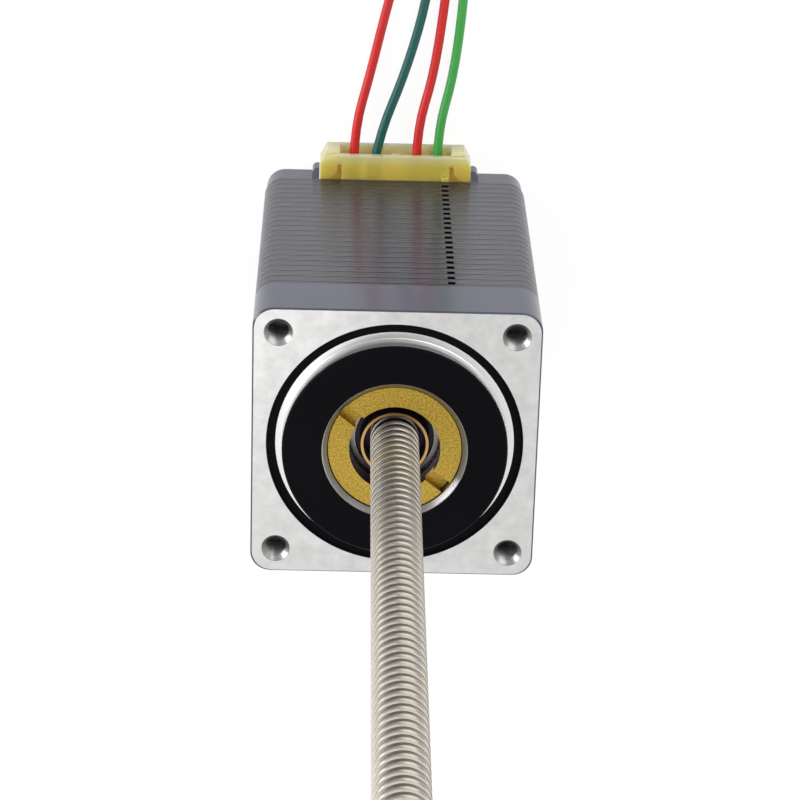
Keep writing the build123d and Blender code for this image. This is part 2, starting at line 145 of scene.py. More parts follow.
def hole_places():
    """The centres of the four corner holes."""
    half = sizes().hole_spacing / 2
    return [(x, y) for x in (-half, half) for y in (-half, half)]


# Modelling helpers

def points_in(geom):
    """The points in what an operator gives back."""
    return [g for g in geom if isinstance(g, bmesh.types.BMVert)]


def edges_in(geom):
    """The edges in what an operator gives back."""
    return [g for g in geom if isinstance(g, bmesh.types.BMEdge)]


def polar(radius, angle):
    """A point on a circle about the origin."""
    return radius * cos(angle), radius * sin(angle)


def turned(bm, profile, steps=128, closed=False, centre=(0, 0)):
    """Turns a profile of (radius, z) points once about an upright axis."""
    verts = [bm.verts.new((centre[0] + r, centre[1], z)) for r, z in profile]
    pairs = list(zip(verts, verts[1:]))
    if closed:
        pairs.append((verts[-1], verts[0]))
    edges = [bm.edges.new(pair) for pair in pairs]
    bmesh.ops.spin(bm, geom=verts + edges, cent=(*centre, 0), axis=(0, 0, 1), angle=tau,
        steps=steps, use_merge=True)


def helix(bm, section, centre, pitch, turns, steps):
    """Winds (radius, z) points into a right-hand helix: one turn is spun, then stacked."""
    before = len(bm.verts), len(bm.edges), len(bm.faces)
    verts = [bm.verts.new((centre[0] + r, centre[1], z)) for r, z in section]
    edges = [bm.edges.new(pair) for pair in zip(verts, verts[1:])]
    bmesh.ops.spin(bm, geom=verts + edges, cent=(*centre, 0), axis=(0, 0, 1), angle=tau,
        dvec=(0, 0, pitch / steps), steps=steps)
    one_turn = []
    for group, count in zip((bm.verts, bm.edges, bm.faces), before):
        group.ensure_lookup_table()
        one_turn += group[count:]
    for n in range(1, turns):
        copy = bmesh.ops.duplicate(bm, geom=one_turn)["geom"]
        bmesh.ops.translate(bm, vec=(0, 0, n * pitch), verts=points_in(copy))
    bm.verts.ensure_lookup_table()
    bmesh.ops.remove_doubles(bm, verts=bm.verts[before[0]:], dist=COPY_WELD)


def loop_edges(bm, level):
    """Open edges that lie at one height."""
    return [e for e in bm.edges
        if len(e.link_faces) < 2 and all(abs(v.co.z - level) < LEVEL_GAP for v in e.verts)]


def fill_level(bm, level):
    """Closes the flat region between the open loops at one height."""
    bmesh.ops.triangle_fill(bm, edges=loop_edges(bm, level), use_beauty=True)


def square_loop(bm, marks=()):
    """The frame's rounded square where cover and core meet, with extra points along each side."""
    points = []
    for quarter in range(QUARTERS):
        turn = Matrix.Rotation(-pi / 2 * quarter, 3, "Z")
        points += [turn @ Vector((x, HALF_SIDE, COVER_BACK)) for x in (-HALF_SIDE, *marks)]
    verts = [bm.verts.new(p) for p in points]
    bm.faces.new(verts)
    bmesh.ops.bevel(bm, geom=verts[::1 + len(marks)], offset=sizes().corner_r, offset_type="OFFSET",
        segments=CORNER_STEPS, profile=0.5, affect="VERTICES", material=-1)
    plates = [f for f in bm.faces if len(f.verts) > QUARTERS * CORNER_STEPS]
    bmesh.ops.delete(bm, geom=plates, context="FACES_ONLY")
    return loop_edges(bm, COVER_BACK)


def raise_wall(bm, edges, levels):
    """Extrudes an edge loop through (height, inset) levels."""
    inset_now = 0
    for height, inset in levels:
        made = bmesh.ops.extrude_edge_only(bm, edges=edges)["geom"]
        verts, edges = points_in(made), edges_in(made)
        grow = (HALF_SIDE - inset) / (HALF_SIDE - inset_now)
        bmesh.ops.scale(bm, vec=(grow, grow, 1), verts=verts)
        for vert in verts:
            vert.co.z = height
        inset_now = inset


def clean(bm):
    """Joins doubled points and turns every face outwards."""
    bmesh.ops.remove_doubles(bm, verts=bm.verts[:], dist=WELD)
    bmesh.ops.recalc_face_normals(bm, faces=bm.faces[:])


def new_object(name, data):
    """An object of the scene."""
    made = bpy.data.objects.new(name, data)
    bpy.context.scene.collection.objects.link(made)
    return made


def finish_piece(name, bm, materials, node, body="motor", sharp_deg=32, soft_mm=0):
    """Makes a piece of a bmesh in millimetres, in the place of a node, riding on its body."""
    bmesh.ops.scale(bm, vec=(MM, MM, MM), verts=bm.verts[:])
    mesh = bpy.data.meshes.new(name)
    bm.to_mesh(mesh)
    bm.free()
    for material in materials:
        mesh.materials.append(material)
    mesh.shade_smooth()
    mesh.set_sharp_from_angle(angle=radians(sharp_deg))
    piece = new_object(name, mesh)
    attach(piece, body)
    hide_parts(node)
    if soft_mm:
        soften(piece, soft_mm)


def cut(bm, place, normal, clear=False):
    """Cuts through the whole piece, and gives the edges of the cut."""
    whole = bm.verts[:] + bm.edges[:] + bm.faces[:]
    return edges_in(bmesh.ops.bisect_plane(bm, geom=whole, plane_co=place, plane_no=normal,
        clear_outer=clear)["geom_cut"])


def merged_copy(node):
    """A CAD node's mesh in millimetres, with its points merged and its flat faces joined."""
    bm = bmesh.new()
    bm.from_mesh(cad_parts[node].data)
    bmesh.ops.scale(bm, vec=(1 / MM, 1 / MM, 1 / MM), verts=bm.verts[:])
    bmesh.ops.remove_doubles(bm, verts=bm.verts[:], dist=NODE_WELD)
    bmesh.ops.dissolve_limit(bm, angle_limit=radians(0.5), verts=bm.verts[:], edges=bm.edges[:])
    return bm


def soften(piece, width):
    """Rounds edges over 30 degrees, as a mould or a deburring tool leaves them."""
    bevel = piece.modifiers.new("edges", "BEVEL")
    bevel.width = width * MM
    bevel.segments = 2
    bevel.limit_method = "ANGLE"
    bevel.angle_limit = radians(30)


# Material helpers

def add(beside, kind, links=None, **settings):
    """Adds one shader node to a node's tree; links gives its inputs a socket or a value."""
    tree = beside.id_data
    made = tree.nodes.new("ShaderNode" + kind)
    for key, value in settings.items():
        setattr(made, key, value)
    for name, source in (links or {}).items():
        if isinstance(source, bpy.types.NodeSocket):
            tree.links.new(source, made.inputs[name])
        else:
            made.inputs[name].default_value = source
    return made


def new_finish(name, base, roughness, metallic=0.0, others=None):
    """A material with its shader's own values, some of which its patterns then vary."""
    material = bpy.data.materials.new(name)
    material.use_nodes = True
    shader = material.node_tree.nodes["Principled BSDF"]
    values = {"Base Color": (*base, 1), "Roughness": roughness, "Metallic": metallic}
    for socket, value in (values | (others or {})).items():
        shader.inputs[socket].default_value = value
    return material, shader


def grain(shader, size_mm, stretch=(1, 1, 1), detail=2.0, rough=0.5):
    """Noise on the piece's own coordinates, with grains of a real size in millimetres."""
    place = add(shader, "TexCoord").outputs["Object"]
    shape = add(shader, "Mapping", {"Vector": place, "Scale": stretch})
    noise = add(shader, "TexNoise", {
        "Vector": shape.outputs["Vector"], "Scale": 1 / (size_mm * MM), "Detail": detail,
        "Roughness": rough})
    return noise.outputs["Fac"]


def blend(shader, fac, dark, light):
    """Varies the base colour between two colours by a pattern."""
    mix = add(shader, "Mix", {"Factor": fac}, data_type="RGBA")
    ends = [socket for socket in mix.inputs if socket.type == "RGBA"]
    ends[0].default_value = (*dark, 1)
    ends[1].default_value = (*light, 1)
    mixed = [socket for socket in mix.outputs if socket.type == "RGBA"][0]
    shader.id_data.links.new(mixed, shader.inputs["Base Color"])


def scaled(values, factor):
    """A colour made lighter or darker."""
    return [min(1.0, v * factor) for v in values]


def shade(shader, fac, base, low, high):
    """Makes the base colour darker and lighter by a pattern, between two factors."""
    blend(shader, fac, scaled(base, low), scaled(base, high))


def roughen(shader, fac, low, high):
    """Varies the roughness between two values by a pattern."""
    span = add(shader, "MapRange", {"Value": fac, "To Min": low, "To Max": high})
    shader.id_data.links.new(span.outputs["Result"], shader.inputs["Roughness"])


def emboss(shader, fac, height_mm, strength=1.0):
    """Raises the surface by a pattern, with its height in millimetres."""
    bump = add(shader, "Bump", {"Height": fac, "Distance": height_mm * MM, "Strength": strength})
    shader.id_data.links.new(bump.outputs["Normal"], shader.inputs["Normal"])


# Finishes

def coated_casting():
    """Electrocoated die casting: a dark satin paint with a faint orange peel."""
    base = colours().casting
    material, shader = new_finish("electrocoated_casting", base, 0.3, others={"IOR": 1.5})
    peel = grain(shader, 0.35, detail=3)
    shade(shader, grain(shader, 3.0), base, 0.88, 1.12)
    roughen(shader, peel, 0.17, 0.25)
    emboss(shader, peel, 0.004, 0.5)
    return material


def coated_core():
    """Electrocoated laminations: the coat follows each packet of four layers, so they differ."""
    base = colours().core
    material, shader = new_finish("electrocoated_laminations", base, 0.3)
    place = add(shader, "TexCoord").outputs["Object"]
    height = add(shader, "SeparateXYZ", {"Vector": place}).outputs["Z"]
    packet = add(shader, "Math", {0: height, 1: QUARTERS * sizes().lamination * MM},
        operation="DIVIDE")
    number = add(shader, "Math", {0: packet.outputs[0]}, operation="FLOOR")
    tone = add(shader, "TexWhiteNoise", {"W": number.outputs[0]}, noise_dimensions="1D")
    shade(shader, tone.outputs["Value"], base, 0.9, 1.1)
    streaks = grain(shader, 0.25, stretch=(0.6, 0.6, 1.2), detail=3)
    roughen(shader, streaks, 0.14, 0.22)
    emboss(shader, streaks, 0.003, 0.25)
    return material


def black_coat():
    """Dull black coat: almost no gloss from the front."""
    base = colours().black
    material, shader = new_finish("dull_black_coat", base, 0.5, others={"Specular IOR Level": 0.06})
    peel = grain(shader, 0.3, detail=3)
    shade(shader, peel, base, 0.7, 1.5)
    emboss(shader, peel, 0.006, 0.5)
    return material


def machined_aluminium():
    """Faced aluminium: a bright metal with faint marks of the tool and soft stains."""
    base = colours().machined
    material, shader = new_finish("machined_aluminium", base, 0.34, 1.0)
    marks = grain(shader, 0.22, stretch=(1, 0.12, 1), detail=4, rough=0.6)
    shade(shader, grain(shader, 1.6, detail=5, rough=0.65), base, 0.72, 1.25)
    roughen(shader, marks, 0.28, 0.45)
    emboss(shader, marks, 0.006, 0.5)
    return material


def turned_aluminium(name="turned_aluminium", factor=1.15):
    """Turned aluminium of the pilot's wall, mouth and holes: fine rings from the lathe; its factor
    scales the colour, and the mouth's copy below one is painted shade.
    """
    material, shader = new_finish(name, scaled(colours().machined, factor), 0.34, 1.0)
    rings = grain(shader, 0.15, stretch=(0.03, 0.03, 1))
    roughen(shader, rings, 0.28, 0.4)
    emboss(shader, rings, 0.001, 0.2)
    return material


def blasted_brass():
    """Bead-blasted brass: dents that break its glance into grains, coarse enough to show."""
    base = colours().brass
    material, shader = new_finish("bead_blasted_brass", base, 0.42, 1.0)
    dents = grain(shader, 0.2, detail=3, rough=0.7)
    # The noise's middle range, spread out for more contrast
    spread = add(shader, "MapRange", {"Value": dents, "From Min": 0.3, "From Max": 0.7})
    shade(shader, spread.outputs["Result"], base, 0.5, 1.42)
    roughen(shader, dents, 0.36, 0.55)
    emboss(shader, dents, 0.05)
    return material


def turned_brass():
    """Turned brass of the lead nut: brighter and redder than the ring, with fine rings."""
    material, shader = new_finish("turned_brass", colours().bright_brass, 0.3, 1.0)
    rings = grain(shader, 0.08, stretch=(0.05, 0.05, 1))
    roughen(shader, rings, 0.22, 0.38)
    emboss(shader, rings, 0.003, 0.4)
    return material


def tapped_bore():
    """Threads cut in aluminium, darkened as painted shade inside the holes."""
    # Painted shade: the bare metal's colour at 0.6.
    base = scaled(colours().machined, 0.6)
    material, shader = new_finish("tapped_aluminium", base, 0.35, 1.0)
    film = grain(shader, 0.3, detail=3)
    shade(shader, film, base, 0.5, 1.3)
    roughen(shader, film, 0.25, 0.45)
    return material


def painted_shade_bore():
    """Painted shade for bores and walls: a dull brown-black metal in place of their own finish."""
    material, shader = new_finish("bore_painted_shade", linear("#4a4048"), 0.4, 0.8)
    film = grain(shader, 0.4, detail=3)
    blend(shader, film, linear("#2a2228"), linear("#554a53"))
    roughen(shader, film, 0.3, 0.5)
    return material


def rolled_steel(name, factor):
    """Rolled stainless thread with marks along it; a darker copy paints the shade in the grooves.
    """
    base = scaled(colours().screw, factor)
    material, shader = new_finish(name, base, 0.3, 1.0)
    marks = grain(shader, 0.12, stretch=(0.4, 0.4, 1.5), detail=3)
    shade(shader, grain(shader, 0.6, detail=3), base, 0.88, 1.1)
    roughen(shader, marks, 0.24, 0.4)
    emboss(shader, marks, 0.004, 0.4)
    return material


def ground_steel(name="ground_steel", factor=1.0):
    """Ground bearing and shaft steel, slightly oily."""
    material, shader = new_finish(name, scaled(colours().steel, factor), 0.25, 1.0)
    marks = grain(shader, 0.1, stretch=(0.1, 0.1, 1))
    roughen(shader, marks, 0.18, 0.32)
    emboss(shader, marks, 0.002, 0.3)
    return material


def natural_nylon():
    """Moulded natural nylon: light passes a little way in, and the skin has a soft gloss."""
    base = colours().nylon
    material, shader = new_finish("moulded_natural_nylon", base, 0.35, others={
        "IOR": 1.53, "Subsurface Weight": 1.0, "Subsurface Radius": (1.0, 0.85, 0.4),
        "Subsurface Scale": 2.5 * MM, "Transmission Weight": 0.3, "Coat Weight": 0.4,
        "Coat Roughness": 0.3})
    # The thin walls round the trough let more light through, so they look paler than the foot.
    foot_y, wall_y = 15.3 * MM, 16.7 * MM
    place = add(shader, "TexCoord").outputs["Object"]
    height = add(shader, "SeparateXYZ", {"Vector": place}).outputs["Y"]
    rise = add(shader, "MapRange", {"Value": height, "From Min": foot_y, "From Max": wall_y})
    blend(shader, rise.outputs["Result"], base, linear("#fff2bc"))
    cloud = grain(shader, 1.2, detail=3)
    roughen(shader, cloud, 0.3, 0.42)
    emboss(shader, grain(shader, 0.25), 0.006, 0.4)
    return material


def insulation(name, base):
    """Extruded insulation: a smooth skin with a slow ripple along the wire."""
    material, shader = new_finish(name, base, 0.3, others={"IOR": 1.5})
    ripple = grain(shader, 1.4)
    shade(shader, ripple, base, 0.88, 1.1)
    roughen(shader, ripple, 0.38, 0.5)
    emboss(shader, grain(shader, 0.3), 0.004, 0.3)
    return material


def plain_metal(name, text, roughness, grain_mm=0.12):
    """A metal of the inner parts: coated, plated or rolled, with its own grain."""
    base = linear(text)
    material, shader = new_finish(name, base, roughness, 1.0)
    marks = grain(shader, grain_mm, detail=3)
    shade(shader, marks, base, 0.85, 1.12)
    roughen(shader, marks, roughness - 0.06, roughness + 0.08)
    emboss(shader, marks, 0.004, 0.4)
    return material


def filled_nylon():
    """Black glass-filled nylon of the winding carriers: matt, with a fibrous skin."""
    base = linear("#1c1c1e")
    material, shader = new_finish("glass_filled_nylon", base, 0.55)
    fibres = grain(shader, 0.2, stretch=(1, 0.3, 1), detail=4)
    shade(shader, fibres, base, 0.7, 1.5)
    emboss(shader, fibres, 0.008, 0.5)
    return material


def magnet_wire():
    """Enamelled copper wire: the winding's turns show as ridges."""
    ridge_mm = 0.3
    base = linear("#a4502a")
    material, shader = new_finish("enamelled_copper", base, 0.25, 1.0)
    place = add(shader, "TexCoord").outputs["Object"]
    turns = add(shader, "TexWave", {
        "Vector": place, "Scale": 1 / (ridge_mm * MM * tau) * 2}, bands_direction="DIAGONAL")
    shade(shader, turns.outputs["Fac"], base, 0.6, 1.15)
    emboss(shader, turns.outputs["Fac"], 0.06, 0.7)
    return material


# Stage

# The photograph's camera, fitted to the motor's own edges: its place in millimetres, its
# directions, and its focal length for Blender's own sensor width
CAMERA_AT = Vector((-5.4515, 119.8793, 272.3462))
CAMERA_FORWARD = Vector((0.019772, -0.389402, -0.920856))
CAMERA_UP = Vector((-0.021827, 0.920648, -0.389783))
CAMERA_LENS = 137.07

# Name, place and side in millimetres, and power in watts; each faces the origin
SOFTBOXES = (
    ("key_softbox", (-39, -16, 150), 60, 0.02),
    ("side_softbox", (-380, 120, 120), 200, 0.9),
    ("fill_softbox", (320, -160, 260), 220, 0.2),
    ("back_softbox", (330, 420, 300), 520, 1.2),
)

# A gap below the rear cover, so that two faces don't share a plane, and half the side in metres
FLOOR_GAP, FLOOR_REACH = 0.01, 3
# Strength of the paper's own white, and its share where it is seen; the rest takes the shadows
PAPER_GLOW, PAPER_SHARE = 1.06, 0.86
# Strength of the studio on matt surfaces; what metal mirrors of the room and of its dark corner
# behind the camera; and the cosines between which the one turns into the other
STUDIO_LIGHT = 0.62
MIRRORED_ROOM, MIRRORED_CORNER = 0.8, 0.12
CORNER_EDGE, CORNER_MIDDLE = 0.76, 0.97


class MOTOR_OT_stage(bpy.types.Operator):
    """Makes the camera, the pale floor, the softboxes and the white studio"""

    bl_idname = "motor.stage"
    bl_label = "Stage"

    def execute(self, context):
        scene = context.scene
        scene.camera = self.camera()
        self.floor()
        scene.world = self.studio()
        for name, at, size, power in SOFTBOXES:
            self.softbox(name, Vector(at), size, power)
        scene.view_settings.view_transform = "Standard"
        return {"FINISHED"}

    def camera(self):
        data = bpy.data.cameras.new("photo_camera")
        data.lens = CAMERA_LENS
        data.clip_start = 0.01
        data.clip_end = 50
        camera = new_object("photo_camera", data)
        right = CAMERA_FORWARD.cross(CAMERA_UP)
        turn = Matrix((right, CAMERA_UP, -CAMERA_FORWARD)).transposed()
        camera.matrix_world = Matrix.Translation(CAMERA_AT * MM) @ turn.to_4x4()
        return camera

    def floor(self):
        bm = bmesh.new()
        level = Matrix.Translation((0, 0, (FLOOR_Z - FLOOR_GAP) * MM))
        bmesh.ops.create_grid(bm, x_segments=1, y_segments=1, size=FLOOR_REACH, matrix=level)
        mesh = bpy.data.meshes.new("floor")
        bm.to_mesh(mesh)
        bm.free()
        # White paper: matt, and so bright that only the shadows on it show
        material, shader = new_finish("white_paper", (0.9, 0.9, 0.9), 0.9,
            others={"Specular IOR Level": 0.1})
        glow = add(shader, "Emission", {"Color": (1, 1, 1, 1), "Strength": PAPER_GLOW})
        path = add(shader, "LightPath")
        seen = add(shader, "Math", {
            0: path.outputs["Is Camera Ray"], 1: path.outputs["Is Glossy Ray"]},
            operation="MAXIMUM")
        share = add(shader, "Math", {0: seen.outputs[0], 1: PAPER_SHARE}, operation="MULTIPLY")
        mix = add(shader, "MixShader", {
            0: share.outputs[0], 1: shader.outputs["BSDF"], 2: glow.outputs["Emission"]})
        tree = material.node_tree
        tree.links.new(mix.outputs[0], tree.nodes["Material Output"].inputs["Surface"])
        mesh.materials.append(material)
        floor = new_object("floor", mesh)

    def studio(self):
        world = bpy.data.worlds.new("studio")
        world.use_nodes = True
        back = world.node_tree.nodes["Background"]
        path = add(back, "LightPath")
        way = add(back, "TexCoord").outputs["Generated"]
        toward = add(back, "VectorMath", {0: way, 1: -CAMERA_FORWARD}, operation="DOT_PRODUCT")
        dim = add(back, "MapRange", {
            "Value": toward.outputs["Value"], "From Min": CORNER_EDGE, "From Max": CORNER_MIDDLE,
            "To Min": MIRRORED_ROOM, "To Max": MIRRORED_CORNER})
        # Inputs 2 and 3 of a Mix node are the two numbers that it mixes.
        mirrored = add(back, "Mix", {
            0: path.outputs["Is Glossy Ray"], 2: STUDIO_LIGHT, 3: dim.outputs["Result"]})
        seen = add(back, "Math", {
            0: path.outputs["Is Camera Ray"], 1: path.outputs["Is Transmission Ray"]},
            operation="MAXIMUM")
        level = add(back, "Mix", {0: seen.outputs[0], 2: mirrored.outputs[0], 3: 1.0})
        back.inputs["Color"].default_value = (1, 1, 1, 1)
        world.node_tree.links.new(level.outputs[0], back.inputs["Strength"])
        return world

    def softbox(self, name, at, size, power):
        data = bpy.data.lights.new(name, "AREA")
        data.shape = "SQUARE"
        data.size = size * MM
        data.energy = power
        light = new_object(name, data)
        light.location = at * MM
        light.rotation_mode = "QUATERNION"
        light.rotation_quaternion = (-at).to_track_quat("-Z", "Y")


# Leads: the routes of the frame, then a neat coil just outside the view

LEAD_START_Y = 15.45
CONTACT_Z = -40.675
SAG_Z = CONTACT_Z - 0.1
LEAD_Z = FLOOR_Z + 0.5
# Each lead's contact (x), first bend and two points on the floor (x, y), and its coil's radius
ROUTES = {
    "lead_red_left": (-4.5, (-4.45, 19.3), (-3.0, 24.6), (-1.5, 31.6), 4.4),
    "lead_teal": (-2.25, (-1.65, 18.9), (0.65, 24.6), (2.6, 31.8), 5.45),
    "lead_red_right": (2.25, (2.25, 19.3), (3.8, 24.6), (4.7, 31.8), 6.5),
    "lead_green": (4.5, (4.5, 19.3), (5.95, 24.6), (6.7, 32.0), 7.55),
}
# A lead's last bend before the coil: its y, and how far it has moved towards the coil's side
BEND_Y, BEND_SHARE = 37.5, 0.25
# The coil: its centre and the leads' way in before it, a turn's rise over its first part, its
# points, and the share of their radius at which the curve runs
COIL_CENTRE, COIL_ENTRY = Vector((0, 47)), 5.0
COIL_RISE, CLIMB_DEG = 1.05, 250
COIL_POINTS, CURVE_SHARE = 16, 0.985
# The bare tip: its length, points, their step along the coil, and its share of the diameter
TIP_LENGTH, TIP_POINTS, TIP_STEP, TIP_SHARE = 4, 4, 0.8, 0.6


def coil_point(radius, step):
    """A control point of a coil, whose turns climb over their first part and then stay level."""
    turn = step / COIL_POINTS
    climb = min((turn % 1) * 360 / CLIMB_DEG, 1) + int(turn)
    x, y = polar(radius / CURVE_SHARE, tau * turn)
    return COIL_CENTRE.x + x, COIL_CENTRE.y + y, LEAD_Z + COIL_RISE * climb


def spline_curve(name, points, diameter, material):
    """A round wire on one smooth open spline, from points in millimetres."""
    data = bpy.data.curves.new(name, "CURVE")
    data.dimensions = "3D"
    spline = data.splines.new("NURBS")
    spline.points.add(len(points) - 1)
    for point, place in zip(spline.points, points):
        point.co = (*[c * MM for c in place], 1)
    spline.order_u = 3
    spline.use_endpoint_u = True
    data.resolution_u = 4
    data.bevel_depth = diameter / 2 * MM
    data.bevel_resolution = 4
    data.use_fill_caps = True
    data.materials.append(material)
    curve = new_object(name, data)
    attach(curve, "motor")
    return curve


def length_of(points):
    """Length of the smooth line through the middles of the runs, about the spline's own."""
    middles = [tuple((a + b) / 2 for a, b in zip(p, q)) for p, q in zip(points, points[1:])]
    line = [points[0], *middles, points[-1]]
    return sum(dist(p, q) for p, q in zip(line, line[1:]))


class MOTOR_OT_leads(bpy.types.Operator):
    """Lays the four leads from the connector along the floor and winds up the rest"""

    bl_idname = "motor.leads"
    bl_label = "Leads"

    def execute(self, context):
        skins = {tone: insulation(tone + "_insulation", getattr(colours(), tone))
            for tone in ("red", "teal", "green")}
        # Tinned copper: the strands' twist shows as a fine bump.
        tinned = plain_metal("tinned_strands", "#c4c2be", 0.3, 0.2)
        for name, (contact_x, sag, *resting, radius) in ROUTES.items():
            short = name.removeprefix("lead_")
            tone = short.split("_")[0]
            route = [(contact_x, LEAD_START_Y, CONTACT_Z), (*sag, SAG_Z)]
            route += [(*place, LEAD_Z) for place in resting]
            entry = (COIL_CENTRE.x + radius, COIL_CENTRE.y - COIL_ENTRY, LEAD_Z)
            bend_x = (1 - BEND_SHARE) * route[-1][0] + BEND_SHARE * entry[0]
            points = [*route, (bend_x, BEND_Y, LEAD_Z), entry]
            step = 0
            while length_of(points) < sizes().lead_length - TIP_LENGTH:
                points.append(coil_point(radius, step))
                step += 1
            wire = spline_curve("wire_" + short, points, sizes().lead_d, skins[tone])
            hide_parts(name, "lead_coil")
            ends = [coil_point(radius, step - 1 + n * TIP_STEP) for n in range(TIP_POINTS)]
            tip = spline_curve("strands_" + short, ends, TIP_SHARE * sizes().lead_d, tinned)
        return {"FINISHED"}


# Material slots of the front cover, after its coat
BLACK, MACHINED, TURNED, TAPPED, MOUTH = range(1, 6)


class MOTOR_OT_front_cover(bpy.types.Operator):
    """Models the machined front cover with its groove, pilot and tapped holes"""

    bl_idname = "motor.front_cover"
    bl_label = "Front cover"

    # The pilot, and how far down it is black: the depth of its chamfer
    pilot_r, pilot_coat = 11.0, 0.19
    groove_r, groove_floor, coat_edge_r = 12.55, -0.33, 11.67
    mouth_r, mouth_top_r = 6.6, 7.07
    bearing_r, bearing_front, bearing_end = 7.02, -1.5, -4.7
    boss_r = 8.0
    cavity_r, cavity_top = 12.2, -2.9
    hole_top_r, hole_r, root_r, hole_end = 1.4, 1.06, 1.25, -4.2
    # Reach of a hole's finishes about its axis, and where its thread starts
    hole_reach, thread_top = 2, -0.36
    # Corners of the thread's ridge in shares of the pitch, its turns and their steps
    ridge = 0.42, 0.55, 0.95
    tap_turns, tap_steps = 7, 28
    bolt_r = 1.24

    def execute(self, context):
        bm = bmesh.new()
        self.outside(bm)
        self.inside(bm)
        self.holes(bm)
        fill_level(bm, 0)
        fill_level(bm, COVER_BACK)
        clean(bm)
        self.taps(bm)
        self.coats(bm)
        # The mouth's copy at half the colour is painted shade in the bore's mouth and the holes'
        # countersinks.
        finishes = [coated_casting(), black_coat(), machined_aluminium(), turned_aluminium(),
            tapped_bore(), turned_aluminium("turned_mouth_painted_shade", 0.5)]
        finish_piece("machined_front_cover", bm, finishes, "front_cover",
            sharp_deg=18)
        return {"FINISHED"}

    def outside(self, bm):
        """The square wall with its chamfer."""
        chamfer = sizes().edge_chamfer
        raise_wall(bm, square_loop(bm), [(-chamfer, 0), (0, chamfer)])

    def inside(self, bm):
        """The turned side: cavity, bearing seat, mouth, pilot and groove."""
        top, floor = PILOT_TOP, self.groove_floor
        mouth, lip, pilot, groove = self.mouth_r, self.mouth_top_r, self.pilot_r, self.groove_r
        turned(bm, [
            (self.cavity_r, COVER_BACK), (self.cavity_r, self.cavity_top),
            (self.boss_r, self.cavity_top), (self.boss_r, self.bearing_end),
            (self.bearing_r, self.bearing_end), (self.bearing_r, self.bearing_front),
            (mouth, self.bearing_front), (mouth, top - 0.5), (mouth + 0.03, top - 0.45),
            (lip - 0.03, top - 0.03), (lip + 0.03, top),
            (pilot - 0.2, top), (pilot - 0.15, top - 0.02), (pilot - 0.01, top - 0.16),
            (pilot, top - 0.2), (pilot, floor + 0.05), (pilot + 0.05, floor),
            (self.coat_edge_r, floor), (groove - 0.04, floor), (groove, floor + 0.04),
            (groove, -0.03), (groove + 0.03, 0),
        ])

    def holes(self, bm):
        """The countersunk holes from the front, and the bolts' bores from behind."""
        top_r, end, bolt_end = self.hole_top_r, self.hole_end, self.hole_end - 0.15
        for place in hole_places():
            turned(bm, [(top_r + 0.02, 0), (top_r - 0.02, -0.02), (self.hole_r, -0.34),
                (self.root_r, -0.42), (self.root_r, end), (0, end - 0.1)],
                steps=40, centre=place)
            turned(bm, [(self.bolt_r, COVER_BACK), (self.bolt_r, bolt_end), (0, bolt_end)],
                steps=24, centre=place)

    def taps(self, bm):
        """The thread's ridge in each hole, with its faces turned towards the axis."""
        pitch = sizes().tap_pitch
        low, root = self.hole_end + 0.3, self.root_r + 0.01
        lower, upper, end = (low + pitch * share for share in self.ridge)
        section = [(root, low), (self.hole_r, lower), (self.hole_r, upper), (root, end)]
        for x, y in hole_places():
            first = len(bm.verts)
            helix(bm, section, (x, y), pitch, self.tap_turns, self.tap_steps)
            bm.verts.ensure_lookup_table()
            for face in {f for v in bm.verts[first:] for f in v.link_faces}:
                middle = face.calc_center_median()
                inward = Vector((x - middle.x, y - middle.y, 0))
                if face.normal.dot(inward) < 0 and abs(face.normal.z) < 0.9:
                    face.normal_flip()

    def coats(self, bm):
        """Bare metal on machined faces, black in the groove and on the pilot, else the coat."""
        half = sizes().hole_spacing / 2
        for face in bm.faces:
            middle = face.calc_center_median()
            radius = hypot(*middle.xy)
            low, high = min(v.co.z for v in face.verts), max(v.co.z for v in face.verts)
            on_pilot = (self.mouth_top_r < radius < self.pilot_r
                and middle.z > PILOT_TOP - self.pilot_coat)
            in_groove = (self.coat_edge_r < radius < self.groove_r + 0.01
                and middle.z < -0.01 and low > self.groove_floor - 0.07)
            in_hole = (hypot(abs(middle.x) - half, abs(middle.y) - half) < self.hole_reach
                and middle.z < -0.005 and low > self.hole_end - 0.2)
            if on_pilot or in_groove:
                face.material_index = BLACK
            # The holes take painted shade: the darker tapped finish for the thread, the darkened
            # mouth copy above it.
            elif in_hole:
                face.material_index = TAPPED if middle.z < self.thread_top else MOUTH
            elif low > -FLAT_GAP and high < FLAT_GAP:
                face.material_index = MACHINED
            # The bore's mouth takes the darkened copy as painted shade; the pilot's wall the turned
            # aluminium.
            elif radius < self.groove_r and low > self.bearing_front - 0.01:
                face.material_index = MOUTH if radius < self.mouth_top_r else TURNED


